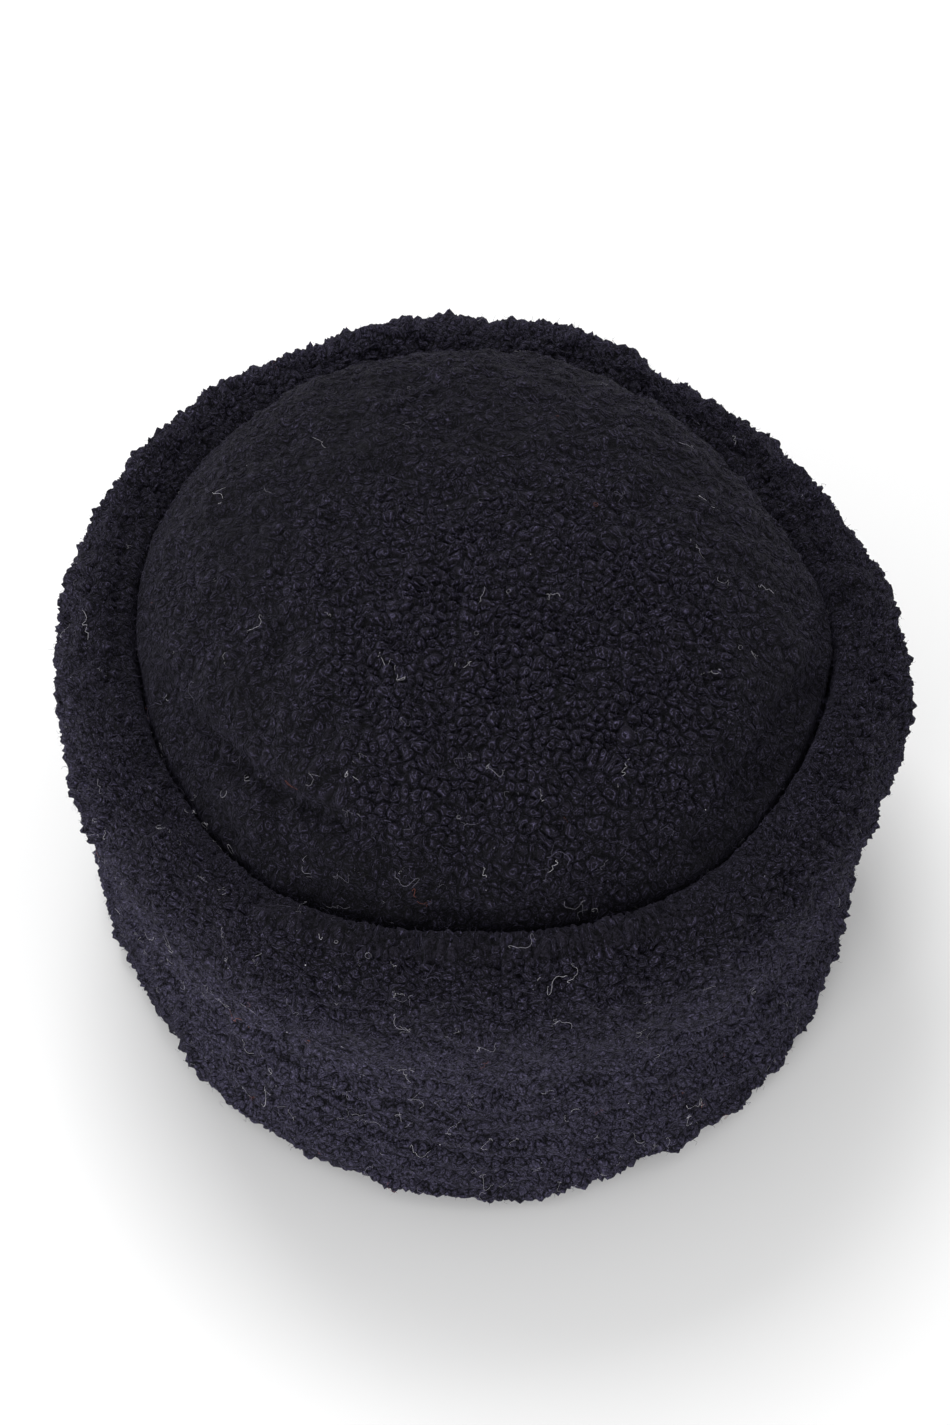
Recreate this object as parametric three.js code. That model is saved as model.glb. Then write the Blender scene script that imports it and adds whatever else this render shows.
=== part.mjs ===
// A round sheepskin hat of the Caucasian kind: a domed crown, and a tall cuff that stands round it.
// Both are a skin with its short wool on, so each is a thick soft wall, and the hat is hollow below.
// Millimetres, +Z up, the hat standing on the flat edge of its cuff with its front towards -Y.
// Azimuths are degrees anticlockwise from +X, seen from above.
import * as THREE from "three";

// The head opening, inside the bottom edge of the cuff. It makes the hat a size 58.
const OPENING_WIDTH = 181;
const OPENING_DEPTH = 189;

// The cuff: one wall, folded inwards at the top into a thick round rim.
const CUFF_HEIGHT = 109.5;
const WALL_THICKNESS = 13;
const CUFF_FLARE = 1; // the wall leans out by this much, from bottom edge to rim
const RIM_OVERHANG = 6; // and the rim bulges past the wall by this much
const OVERHANG_FROM = 0.6; // share of the way up the wall at which that bulge starts
const RIM_THICKNESS = 21;
const RIM_OUTER_ROUND = 20.5; // height of the rim's outer shoulder
const RIM_FACE = 4; // height of its upright inner side, above the groove
const HEM_FLAT = 7; // width of the flat bottom edge
const HEM_ROUND = 5; // height of the rounding outside it

// The crown: a dome whose edge is sewn in behind the rim.
const CROWN_HEIGHT = 139;
const CROWN_THICKNESS = 9;
const GROOVE_DEPTH = 16; // from the rim's top down to where dome and rim meet
const SEAM_DEPTH = 11; // height of the crown's edge, hidden under the groove
const DOME_SQUARENESS = 2.75; // 2 makes a half oval, and more makes fuller shoulders
const SEWN_GAP = 0.3; // between the crown's edge and the cuff

// The join, where the two ends of the cuff meet: a notch, with one end standing above the other.
const JOIN_AZIMUTH = 64;
const JOIN_HALF_WIDTH = 1.6; // degrees
const JOIN_NOTCH = 3;
const JOIN_RISE = 2; // the end beyond the join stands this much over the rim
const JOIN_RISE_FADE = 30; // and is back at the rim's height after as many degrees
const JOIN_DROP = 5.4; // the end before it lies this much lower
const JOIN_DROP_FADE = 45;

// The wool's locks: each point of the woolly surface stands out or lies in by up to half of this.
const LOCK_HEIGHT = 1.8;
const LOCK_WIDTH = 5; // closer points than this move less
const LOCK_SEED = 7;

// How finely the two pieces are drawn. Columns are even, so that the bumps meet all the way round.
const CUFF_COLUMNS = 110;
const WALL_ROWS = 14;
const RIM_ROWS = 11;
const CROWN_COLUMNS = 68;
const DOME_ROWS = 15;
const LINING_ROWS = 8;

// How the soft rim and foot stray from the oval, every 30 degrees from +X. `swell` moves the whole rim
// outwards and `foot` the bottom edge, in shares of OPENING_WIDTH. `thicken` is a share of RIM_THICKNESS,
// and `rise` one of CUFF_HEIGHT.
const STRAY = [
  { swell: 0.004, thicken: -0.02, rise: -0.003, foot: -0.004 },
  { swell: -0.017, thicken: 0, rise: -0.016, foot: -0.001 },
  { swell: -0.007, thicken: -0.02, rise: -0.006, foot: 0 },
  { swell: 0.01, thicken: 0.02, rise: 0.009, foot: 0 },
  { swell: 0.017, thicken: -0.02, rise: 0.005, foot: 0 },
  { swell: 0.009, thicken: -0.03, rise: 0.007, foot: 0.002 },
  { swell: -0.004, thicken: 0.05, rise: 0, foot: 0.01 },
  { swell: -0.012, thicken: 0.03, rise: 0, foot: -0.017 },
  { swell: 0.006, thicken: 0.03, rise: -0.001, foot: -0.005 },
  { swell: -0.002, thicken: 0.07, rise: 0.003, foot: 0.013 },
  { swell: 0.004, thicken: 0.02, rise: 0, foot: 0.009 },
  { swell: -0.009, thicken: -0.04, rise: 0.001, foot: 0 },
];

// Soft creases in the dome, each along the edge from one azimuth to another. Places are shares of the way
// from the dome's middle to its edge, and `depth` and `width` are shares of CROWN_HEIGHT.
const CREASES = [
  { from: 200, to: 262, place: 0.9, depth: 0.022, width: 0.05 },
  { from: 300, to: 350, place: 0.93, depth: 0.014, width: 0.045 },
];

const radians = THREE.MathUtils.degToRad;
const lerp = THREE.MathUtils.lerp;

// A column of STRAY as a smooth closed curve, read at any azimuth.
function strayOf(name) {
  const rows = STRAY.map((row) => new THREE.Vector3(row[name], 0, 0));
  const curve = new THREE.CatmullRomCurve3(rows, true, "catmullrom");
  return (azimuth) => curve.getPoint(THREE.MathUtils.euclideanModulo(azimuth, 360) / 360).x;
}

const swell = strayOf("swell");
const thicken = strayOf("thicken");
const rise = strayOf("rise");
const foot = strayOf("foot");

// The oval of the head opening.
function openingRadius(azimuth) {
  const across = Math.cos(radians(azimuth)) / (OPENING_WIDTH / 2);
  const along = Math.sin(radians(azimuth)) / (OPENING_DEPTH / 2);
  return 1 / Math.hypot(across, along);
}

// Degrees on from the join, anticlockwise, from 0 up to 360.
function beyondJoin(azimuth) {
  return THREE.MathUtils.euclideanModulo(azimuth - JOIN_AZIMUTH, 360);
}

// 1 at the bottom of the join's notch, 0 beside it.
function notchAt(azimuth) {
  const away = Math.min(beyondJoin(azimuth), 360 - beyondJoin(azimuth));
  return Math.max(0, 1 - away / JOIN_HALF_WIDTH);
}

// How far the two ends of the join stand above the rim, or below it.
function stepAt(azimuth) {
  const beyond = beyondJoin(azimuth);
  const high = Math.max(0, 1 - beyond / JOIN_RISE_FADE);
  const low = Math.max(0, 1 - (360 - beyond) / JOIN_DROP_FADE);
  return JOIN_RISE * high ** 2 - JOIN_DROP * low ** 2;
}

function rimOuter(azimuth) {
  const straight = openingRadius(azimuth) + WALL_THICKNESS + CUFF_FLARE + RIM_OVERHANG;
  return straight + OPENING_WIDTH * swell(azimuth);
}

function rimInner(azimuth) {
  return rimOuter(azimuth) - RIM_THICKNESS * (1 + thicken(azimuth));
}

function rimTop(azimuth) {
  return CUFF_HEIGHT * (1 + rise(azimuth));
}

function grooveLevel(azimuth) {
  return rimTop(azimuth) - GROOVE_DEPTH;
}

function seatLevel(azimuth) {
  return grooveLevel(azimuth) - SEAM_DEPTH;
}

// A point of a cross-section. `wool` is 1 where locks stand, and 0 where the surface is plain.
function point(out, up, wool = 0) {
  return { out, up, wool };
}

// The cuff's cross-section: anticlockwise from the inside of the bottom edge.
function cuffSection(azimuth) {
  const notch = JOIN_NOTCH * notchAt(azimuth);
  const opening = openingRadius(azimuth);
  const outer = rimOuter(azimuth) - notch;
  const inner = rimInner(azimuth);
  const top = rimTop(azimuth) + stepAt(azimuth) - notch;
  const groove = grooveLevel(azimuth);
  const seat = seatLevel(azimuth);
  const wallFoot = opening + WALL_THICKNESS + OPENING_WIDTH * foot(azimuth) - notch;
  const shoulder = top - RIM_OUTER_ROUND;
  const section = [point(opening, 0), point(opening + HEM_FLAT, 0)];
  for (let row = 0; row <= WALL_ROWS; row += 1) {
    const share = row / WALL_ROWS;
    const up = lerp(HEM_ROUND, shoulder, share);
    const bulge = RIM_OVERHANG * THREE.MathUtils.smoothstep(share, OVERHANG_FROM, 1);
    section.push(point(lerp(wallFoot, outer - RIM_OVERHANG, share) + bulge, up, row === 0 ? 0 : 1));
  }
  const middle = (outer + inner) / 2;
  const half = (outer - inner) / 2;
  for (let row = 1; row <= RIM_ROWS; row += 1) {
    const turn = (Math.PI * row) / RIM_ROWS;
    const round = turn < Math.PI / 2 ? RIM_OUTER_ROUND : top - groove - RIM_FACE;
    const up = top - round + round * Math.sin(turn);
    section.push(point(middle + half * Math.cos(turn), up, row < RIM_ROWS - 1 ? 1 : 0));
  }
  section.push(point(inner, groove));
  section.push(point(inner, seat));
  section.push(point(opening + CUFF_FLARE, seat));
  section.push(point(opening + CUFF_FLARE / 2, seat / 2));
  section.push(point(opening, 0));
  return section;
}

// The dome's outline in shares: `out` of its radius against `up` of its rise, evenly spaced along it.
function domeShares(rows) {
  const riseToRadius = (CROWN_HEIGHT - CUFF_HEIGHT + GROOVE_DEPTH) / (OPENING_WIDTH / 2);
  const power = 2 / DOME_SQUARENESS;
  const fine = [];
  for (let step = 0; step <= 90; step += 1) {
    const out = step === 90 ? 0 : Math.cos(radians(step)) ** power;
    const up = Math.sin(radians(step)) ** power;
    fine.push(new THREE.Vector2(out, up * riseToRadius));
  }
  const spaced = new THREE.SplineCurve(fine).getSpacedPoints(rows);
  return spaced.map((share) => ({ out: share.x, up: share.y / riseToRadius }));
}

const DOME = domeShares(DOME_ROWS);
const LINING = domeShares(LINING_ROWS);

// How far the creases pull the dome down, at a share of the way to its edge.
function creaseAt(azimuth, out) {
  let down = 0;
  for (const crease of CREASES) {
    const along = (azimuth - crease.from) / (crease.to - crease.from);
    if (along > 0 && along < 1) {
      const aside = ((out - crease.place) * OPENING_WIDTH) / 2 / (crease.width * CROWN_HEIGHT);
      down += crease.depth * CROWN_HEIGHT * Math.sin(Math.PI * along) * Math.exp(-aside * aside);
    }
  }
  return down;
}

// The crown's cross-section: from the middle of its underside, round its edge, to its top.
function crownSection(azimuth) {
  const edge = rimInner(azimuth) - SEWN_GAP;
  const groove = grooveLevel(azimuth);
  const seat = seatLevel(azimuth) + SEWN_GAP;
  const underTop = CROWN_HEIGHT - CROWN_THICKNESS;
  const section = [];
  for (const { out, up } of [...LINING].reverse()) {
    section.push(point((edge - CROWN_THICKNESS) * out, lerp(seat, underTop, up)));
  }
  section.push(point(edge, seat));
  DOME.forEach(({ out, up }, row) => {
    const height = lerp(groove, CROWN_HEIGHT, up) - creaseAt(azimuth, out);
    section.push(point(edge * out, height, row > 1 && row < DOME_ROWS ? 1 : 0));
  });
  return section;
}

// Moves each woolly point of a section out or in at random, square to the surface.
function withLocks(section, columns) {
  return section.map((here, row) => {
    if (here.wool === 0) {
      return here;
    }
    const before = section[row - 1];
    const after = section[row + 1];
    const square = new THREE.Vector2(after.up - before.up, before.out - after.out).normalize();
    const crowding = Math.min(1, (2 * Math.PI * here.out) / columns / LOCK_WIDTH);
    const move = LOCK_HEIGHT * crowding * (THREE.MathUtils.seededRandom() - 0.5);
    return point(here.out + square.x * move, here.up + square.y * move);
  });
}

// Sweeps a section that changes with azimuth once round the upright axis.
function sweptRound(sectionAt, azimuths) {
  const plain = sectionAt(0).map(({ out, up }) => new THREE.Vector2(out, up));
  const solid = new THREE.LatheGeometry(plain, azimuths.length);
  const places = solid.attributes.position;
  const sections = azimuths.map((azimuth) => withLocks(sectionAt(azimuth), azimuths.length));
  for (let index = 0; index < places.count; index += 1) {
    const column = Math.floor(index / plain.length) % azimuths.length;
    const { out, up } = sections[column][index % plain.length];
    const turn = radians(azimuths[column]);
    places.setXYZ(index, out * Math.cos(turn), out * Math.sin(turn), up);
  }
  return solid;
}

// Azimuths of the cuff's columns: one in the notch, one at each side of it, and the rest evenly between.
function cuffAzimuths() {
  const azimuths = [JOIN_AZIMUTH];
  const spacing = (360 - 2 * JOIN_HALF_WIDTH) / (CUFF_COLUMNS - 2);
  for (let column = 0; column <= CUFF_COLUMNS - 2; column += 1) {
    azimuths.push(JOIN_AZIMUTH + JOIN_HALF_WIDTH + column * spacing);
  }
  return azimuths;
}

function crownAzimuths() {
  return Array.from({ length: CROWN_COLUMNS }, (_, column) => (360 * column) / CROWN_COLUMNS);
}

function named(name, geometry, colour) {
  const mesh = new THREE.Mesh(geometry, new THREE.MeshStandardMaterial({ color: colour, roughness: 0.95 }));
  mesh.name = name;
  return mesh;
}

// Puts the middle of the hat's bottom edge at the origin.
function standAtOrigin(hat) {
  const box = new THREE.Box3().setFromObject(hat);
  const middle = box.getCenter(new THREE.Vector3());
  for (const piece of hat.children) {
    piece.geometry.translate(-middle.x, -middle.y, -box.min.z);
  }
  return hat;
}

THREE.MathUtils.seededRandom(LOCK_SEED);
const hat = new THREE.Group();
hat.name = "caucasian_fur_hat";
hat.add(named("cuff", sweptRound(cuffSection, cuffAzimuths()), 0x2a2933));
hat.add(named("crown", sweptRound(crownSection, crownAzimuths()), 0x24232b));

export default standAtOrigin(hat);
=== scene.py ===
"""A round Caucasian hat of sheared sheepskin: a domed crown inside a tall cuff with a folded rim."""

import math

import bpy
import numpy as np
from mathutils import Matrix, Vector
from mathutils.bvhtree import BVHTree


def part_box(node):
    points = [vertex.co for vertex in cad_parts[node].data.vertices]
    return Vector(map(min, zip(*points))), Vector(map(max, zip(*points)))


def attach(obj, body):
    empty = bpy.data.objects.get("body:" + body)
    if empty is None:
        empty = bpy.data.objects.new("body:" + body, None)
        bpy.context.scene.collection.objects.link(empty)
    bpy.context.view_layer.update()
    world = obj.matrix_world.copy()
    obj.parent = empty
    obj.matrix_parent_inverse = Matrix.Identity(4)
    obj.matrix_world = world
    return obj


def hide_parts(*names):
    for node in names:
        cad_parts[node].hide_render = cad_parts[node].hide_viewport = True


bl_info = {
    "name": "Sheepskin hat",
    "version": (1, 0, 0),
    "blender": (4, 5, 0),
    "location": "View3D > Sidebar > Hat",
    "description": "Makes a round sheepskin hat, its wool and a plain stage",
    "category": "Object",
}

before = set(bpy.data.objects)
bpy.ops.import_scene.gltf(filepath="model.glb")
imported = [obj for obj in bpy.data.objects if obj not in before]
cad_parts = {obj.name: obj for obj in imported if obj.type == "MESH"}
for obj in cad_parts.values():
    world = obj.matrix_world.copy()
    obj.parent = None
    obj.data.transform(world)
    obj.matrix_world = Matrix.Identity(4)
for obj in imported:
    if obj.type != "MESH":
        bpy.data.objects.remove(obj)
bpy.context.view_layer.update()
MM = 0.001

# Places that the wool follows, as the solids have them.
CUFF_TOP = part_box("cuff")[1].z
CUFF_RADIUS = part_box("cuff")[1].x
CROWN_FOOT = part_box("crown")[0].z
CROWN_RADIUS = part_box("crown")[1].x
CROWN_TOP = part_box("crown")[1].z
SEAM_DEPTH = 11 * MM
GROOVE = CROWN_FOOT + SEAM_DEPTH
RIM_DEPTH = 33 * MM
RIM_FROM = CUFF_TOP - RIM_DEPTH
HEM = 5 * MM
JOIN_AZIMUTH = math.radians(64)

# The groove: the room across it where wool fills it and where that ends, the room where its painted
# shade is darkest and where that painted shade ends, and what each fleece leaves free at the middle.
FILLED_ROOM, OPEN_ROOM = 3 * MM, 7 * MM
DARKEST_ROOM, LIGHT_ROOM = 4 * MM, 15 * MM
CLEARANCE = 0.05 * MM

# The base meshes: the voxels that take the facets away, the width of a face, and the cuts that divide
# each woolly face further.
VOXEL = 2.8 * MM
CROWN_GRAIN = 3.45 * MM
CUFF_GRAIN = 3.9 * MM
CUTS = 4

WISPS_PER_M2 = 0.07 / MM**2
STRAYS_PER_M2 = 0.0085 / MM**2

# Creases near the crown's edge: azimuths of the two ends in degrees, the place of the ends as a share
# of the way from the middle to the edge, how far the crease bows inwards from there, its depth and its
# half width.
CREASES = (
    (186, 266, 0.96, 0.07, 4.2 * MM, 2.6 * MM),
    (304, 354, 0.985, 0.05, 3.6 * MM, 2.8 * MM),
)

# The camera: how far it looks down, its distance, and where the hat's middle shows in the picture.
CAMERA_ELEVATION = math.radians(52.7)
CAMERA_DISTANCE = 800 * MM
HAT_MIDDLE = 60 * MM
HAT_MIDDLE_PX = (479, 735)
PICTURE_PX = (950, 1425)
PX_PER_M = 3720  # pixels for each metre at the hat's middle

# The lamps: name, place, width in metres and power in watts.
LAMPS = (
    ("front lamp", (-0.9, -1.5, 0.5), 0.8, 18),
    ("top lamp", (-0.3, 0.7, 1.5), 0.7, 12),
)
FLOOR_WIDTH = 12.0

# What the wool's material is told of the curls, and as what kind of value.
PATTERN_KINDS = {
    "short": "FLOAT_VECTOR",
    "long": "FLOAT_VECTOR",
    "long_share": "FLOAT",
    "clear": "FLOAT",
}


def linear(hex_colour):
    """An sRGB hex colour as linear red, green, blue and alpha."""
    values = [int(hex_colour[place : place + 2], 16) / 255 for place in (1, 3, 5)]
    turned = [v / 12.92 if v <= 0.04045 else ((v + 0.055) / 1.055) ** 2.4 for v in values]
    return (*turned, 1.0)


class HatSizes(bpy.types.PropertyGroup):
    """Sizes of the wool."""

    crown_tuft: bpy.props.FloatProperty(
        name="Crown tuft",
        description="Width of a curl on the crown",
        default=2.8 * MM,
        min=1.5 * MM,
        max=6 * MM,
        unit="LENGTH",
    )
    cuff_tuft: bpy.props.FloatProperty(
        name="Cuff tuft",
        description="Width of a curl on the cuff",
        default=2.4 * MM,
        min=1.5 * MM,
        max=6 * MM,
        unit="LENGTH",
    )
    rim_lock: bpy.props.FloatProperty(
        name="Rim lock",
        description="Length of the locks that lie over the front of the rim",
        default=8 * MM,
        min=3 * MM,
        max=20 * MM,
        unit="LENGTH",
    )
    wall_tuft: bpy.props.FloatProperty(
        name="Wall tuft",
        description="Height of a curl on the wall",
        default=1.6 * MM,
        min=1.2 * MM,
        max=6 * MM,
        unit="LENGTH",
    )
    wall_row: bpy.props.FloatProperty(
        name="Wall row",
        description="Spacing of the soft rows that run round the wall",
        default=8.5 * MM,
        min=4 * MM,
        max=20 * MM,
        unit="LENGTH",
    )
    tuft_height: bpy.props.FloatProperty(
        name="Tuft height",
        description="How far a curl stands out",
        default=1.8 * MM,
        min=0.2 * MM,
        max=4 * MM,
        unit="LENGTH",
    )
    wisp_length: bpy.props.FloatProperty(
        name="Wisp length",
        description="Reach of a loose curled wisp",
        default=2.4 * MM,
        min=0.5 * MM,
        max=6 * MM,
        unit="LENGTH",
    )
    stray_length: bpy.props.FloatProperty(
        name="Stray length",
        description="Length of a stray hair",
        default=5.5 * MM,
        min=2 * MM,
        max=15 * MM,
        unit="LENGTH",
    )
    hair_thickness: bpy.props.FloatProperty(
        name="Hair thickness",
        description="Thickness of a stray hair",
        default=0.085 * MM,
        min=0.05 * MM,
        max=0.3 * MM,
        unit="LENGTH",
    )


class HatColours(bpy.types.PropertyGroup):
    """Colours of the hat."""

    wool: bpy.props.FloatVectorProperty(
        name="Wool",
        description="Dyed wool at the tips of the curls",
        default=linear("#131118"),
        size=4,
        subtype="COLOR",
    )
    # Painted light: the wool is made lighter where light grazes the wall and falls on the back of the
    # rim.
    wool_painted_light: bpy.props.FloatVectorProperty(
        name="Wool, painted light",
        description="The same wool with painted light, on the wall and behind on the rim",
        default=linear("#2b2936"),
        size=4,
        subtype="COLOR",
    )
    # Painted shade between the curls and in the groove; also the colour of the darkest loose fibres.
    wool_shade_and_dark_fibre: bpy.props.FloatVectorProperty(
        name="Wool, painted shade",
        description="Painted shade on the wool between the curls, and the darkest loose fibres",
        default=linear("#070709"),
        size=4,
        subtype="COLOR",
    )
    # Faded fibre ends, also laid as a painted highlight on the tops of the curls.
    wool_tip_and_highlight: bpy.props.FloatVectorProperty(
        name="Wool, worn and highlight",
        description="Ends of the fibres, where the dye has faded, also a painted highlight on the curls' tops",
        default=linear("#4c4860"),
        size=4,
        subtype="COLOR",
    )
    wool_sheen: bpy.props.FloatVectorProperty(
        name="Sheen",
        description="Light that grazes the fibres",
        default=linear("#8e8aa6"),
        size=4,
        subtype="COLOR",
    )
    skin: bpy.props.FloatVectorProperty(
        name="Skin",
        description="The skin's bare side, inside the hat",
        default=linear("#2b2523"),
        size=4,
        subtype="COLOR",
    )
    stray: bpy.props.FloatVectorProperty(
        name="Stray hair",
        description="Undyed hairs caught in the wool",
        default=linear("#d8d6de"),
        size=4,
        subtype="COLOR",
    )
    stray_red: bpy.props.FloatVectorProperty(
        name="Stray hair, reddish",
        description="A few hairs of another colour",
        default=linear("#8a5044"),
        size=4,
        subtype="COLOR",
    )


# Helpers


def add_node(tree, kind, inputs=None, **settings):
    """Adds a node. An input is a plain value, a socket, or a node whose first output feeds it."""
    node = tree.nodes.new(kind)
    for name, value in settings.items():
        setattr(node, name, value)
    for place, value in (inputs or {}).items():
        if isinstance(value, bpy.types.Node):
            value = value.outputs[0]
        if isinstance(value, bpy.types.NodeSocket):
            tree.links.new(value, node.inputs[place])
        else:
            node.inputs[place].default_value = value
    return node


def deselect_all():
    """Leaves nothing selected."""
    if bpy.context.object and bpy.context.object.mode != "OBJECT":
        bpy.ops.object.mode_set(mode="OBJECT")
    bpy.ops.object.select_all(action="DESELECT")


def pick(piece):
    """Selects one piece alone."""
    deselect_all()
    piece.select_set(True)
    bpy.context.view_layer.objects.active = piece


def copy_of(piece, name):
    """A copy of a piece, with its own mesh."""
    copied = bpy.data.objects.new(name, piece.data.copy())
    bpy.context.scene.collection.objects.link(copied)
    return copied


def places_of(piece):
    """The places of a piece's points."""
    places = np.empty(len(piece.data.vertices) * 3)
    piece.data.vertices.foreach_get("co", places)
    return places.reshape(-1, 3)


def normals_of(piece):
    """The directions that a piece's points face."""
    normals = np.empty(len(piece.data.vertices) * 3)
    piece.data.vertex_normals.foreach_get("vector", normals)
    return normals.reshape(-1, 3)


def apply_modifier(piece, kind, **settings):
    """Adds a modifier to a piece and applies it."""
    pick(piece)
    modifier = piece.modifiers.new(kind.title(), kind)
    for name, value in settings.items():
        setattr(modifier, name, value)
    bpy.ops.object.modifier_apply(modifier=modifier.name)


def smoothstep(low, high, values):
    """0 below low, 1 above high, and a soft step between."""
    share = np.clip((values - low) / (high - low), 0, 1)
    return share * share * (3 - 2 * share)


# The fleeces: an even mesh in the place of a solid, with curls raised on its woolly side


def base_from(node_name, piece_name, grain):
    """A closed even mesh in the place of a solid, without the solid's facets."""
    piece = copy_of(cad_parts[node_name], piece_name)
    piece.data.materials.clear()
    pick(piece)
    bpy.ops.object.mode_set(mode="EDIT")
    bpy.ops.mesh.select_all(action="SELECT")
    bpy.ops.mesh.remove_doubles(threshold=0.01 * MM)
    bpy.ops.object.mode_set(mode="OBJECT")
    apply_modifier(piece, "REMESH", mode="VOXEL", voxel_size=VOXEL)
    apply_modifier(piece, "SMOOTH", factor=0.5, iterations=4)
    area = sum(face.area for face in piece.data.polygons)
    bpy.ops.object.quadriflow_remesh(target_faces=round(area / grain**2), seed=1)
    return piece


def keep(piece, name, values):
    """Keeps a number for each point with the mesh."""
    kept = piece.data.attributes.new(name, "FLOAT", "POINT")
    kept.data.foreach_set("value", values.astype(np.float32))


def refine(piece, wool):
    """Divides the woolly faces finely, and leaves the bare ones coarse."""
    pick(piece)
    bpy.ops.object.mode_set(mode="EDIT")
    bpy.ops.mesh.select_mode(type="FACE")
    bpy.ops.mesh.select_all(action="DESELECT")
    bpy.ops.object.mode_set(mode="OBJECT")
    for face in piece.data.polygons:
        face.select = any(wool[corner] > 0 for corner in face.vertices)
    bpy.ops.object.mode_set(mode="EDIT")
    bpy.ops.mesh.subdivide(number_cuts=CUTS)
    bpy.ops.object.mode_set(mode="OBJECT")


def press_creases(crown):
    """Presses two soft creases along the crown's front edge, and returns where they are, for painted
    shade.
    """
    places = places_of(crown)
    radius = np.hypot(places[:, 0], places[:, 1])
    azimuth = np.degrees(np.arctan2(places[:, 1], places[:, 0])) % 360
    share = radius / CROWN_RADIUS
    above = smoothstep(GROOVE + 2 * MM, GROOVE + 8 * MM, places[:, 2])
    creased = np.zeros(len(places))
    for start, end, edge_place, bow, depth, width in CREASES:
        along = np.clip((azimuth - start) / (end - start), 0, 1)
        ends = np.sin(np.pi * along)
        aside = (share - edge_place + bow * ends) * CROWN_RADIUS / width
        here = ends * np.exp(-aside * aside) * above
        places -= normals_of(crown) * (depth * here)[:, None]
        creased += here
    crown.data.vertices.foreach_set("co", places.ravel())
    crown.data.update()
    return creased


def crown_wool(piece):
    """Wool covers the crown's outside, down into the groove."""
    places, normals = places_of(piece), normals_of(piece)
    inside = np.array([0, 0, CROWN_FOOT - 30 * MM])
    away = places - inside
    outwards = (away * normals).sum(1) / np.linalg.norm(away, axis=1)
    above = smoothstep(GROOVE - 5 * MM, GROOVE + 1 * MM, places[:, 2])
    return above * smoothstep(0.0, 0.35, outwards)


def cuff_wool(piece):
    """Wool covers the cuff's outside and rim, from just above the hem to the groove."""
    places, normals = places_of(piece), normals_of(piece)
    radius = np.hypot(places[:, 0], places[:, 1])
    outwards = (places[:, :2] * normals[:, :2]).sum(1) / radius
    on_wall = smoothstep(1 * MM, HEM, places[:, 2]) * smoothstep(0.0, 0.4, outwards)
    on_rim = smoothstep(GROOVE - 5 * MM, GROOVE + 2 * MM, places[:, 2])
    return np.maximum(on_wall, on_rim)


def room_beside(piece, neighbour):
    """How far each point of a piece is from the solid beside it, counted up to LIGHT_ROOM."""
    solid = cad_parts[neighbour].data
    corners = [vertex.co for vertex in solid.vertices]
    near = BVHTree.FromPolygons(corners, [tuple(face.vertices) for face in solid.polygons])
    found = [near.find_nearest(place, LIGHT_ROOM)[3] for place in places_of(piece).tolist()]
    return np.array([LIGHT_ROOM if distance is None else distance for distance in found])


def keep_groove(piece, neighbour, creased=0.0):
    """Keeps how deep in the groove a point is, half its room, which wool may fill, and its painted
    shade, darkest deep in the groove or a crease.
    """
    room = room_beside(piece, neighbour)
    keep(piece, "deep", 1 - smoothstep(FILLED_ROOM, OPEN_ROOM, room))
    keep(piece, "half_room", room / 2 - CLEARANCE)
    shade = 1 - smoothstep(DARKEST_ROOM, LIGHT_ROOM, room)
    keep(piece, "shade", np.maximum(shade, creased))


def start_tree(name):
    """A geometry node tree with one geometry in and one out."""
    tree = bpy.data.node_groups.new(name, "GeometryNodeTree")
    tree.interface.new_socket("Geometry", in_out="INPUT", socket_type="NodeSocketGeometry")
    tree.interface.new_socket("Geometry", in_out="OUTPUT", socket_type="NodeSocketGeometry")
    return tree, add_node(tree, "NodeGroupInput")


def wavered(tree, across):
    """A pattern's place, moved by noise, so that its cells differ in size and aren't straight."""
    place = across
    for scale, amount in ((0.35, 2.4), (1.1, 1.0)):
        waver = add_node(
            tree, "ShaderNodeTexNoise", {"Vector": place, "Scale": scale, "Detail": 1.0}
        )
        moved = add_node(
            tree,
            "ShaderNodeVectorMath",
            {0: waver.outputs["Color"], 1: (amount, amount, amount), 2: place},
            operation="MULTIPLY_ADD",
        )
        place = moved.outputs[0]
    return place


def curls(tree, pattern):
    """One curl to each cell of a flat pattern: its height, the way to its middle, and its twist."""
    slope = 0.32  # share of a cell's width over which a curl rises from its edge
    flat = {"voronoi_dimensions": "2D"}
    inputs = {"Vector": pattern, "Scale": 1.0, "Randomness": 0.95}
    cells = add_node(tree, "ShaderNodeTexVoronoi", inputs, **flat)
    edges = add_node(tree, "ShaderNodeTexVoronoi", inputs, feature="DISTANCE_TO_EDGE", **flat)
    dome = add_node(
        tree,
        "ShaderNodeMapRange",
        {"Value": edges, "From Max": slope},
        interpolation_type="SMOOTHSTEP",
    )
    chance = add_node(tree, "ShaderNodeSeparateXYZ", {0: cells.outputs["Color"]})
    tallness = add_node(
        tree, "ShaderNodeMapRange", {"Value": chance, "To Min": 0.55, "To Max": 1.15}
    )
    height = add_node(tree, "ShaderNodeMath", {0: dome, 1: tallness}, operation="MULTIPLY")
    return height.outputs[0], cells.outputs["Distance"], chance.outputs[1]


def pile_of(tree, patterns):
    """How high the wool stands, in short curls and in long locks where there are any."""
    height, off_middle, twist = curls(tree, patterns["short"])
    if "long" in patterns:
        long_height, _, _ = curls(tree, patterns["long"])
        mixed = add_node(
            tree,
            "ShaderNodeMix",
            {0: patterns["long_share"], 2: height, 3: long_height},
            data_type="FLOAT",
        )
        height = mixed.outputs[0]
    pile = add_node(tree, "ShaderNodeMath", {0: height, 1: patterns["clear"]}, operation="MULTIPLY")
    return pile.outputs[0], off_middle, twist


def kept(tree, name):
    """A number that was kept for each point."""
    return add_node(
        tree, "GeometryNodeInputNamedAttribute", {"Name": name}, data_type="FLOAT"
    ).outputs[0]


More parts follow.
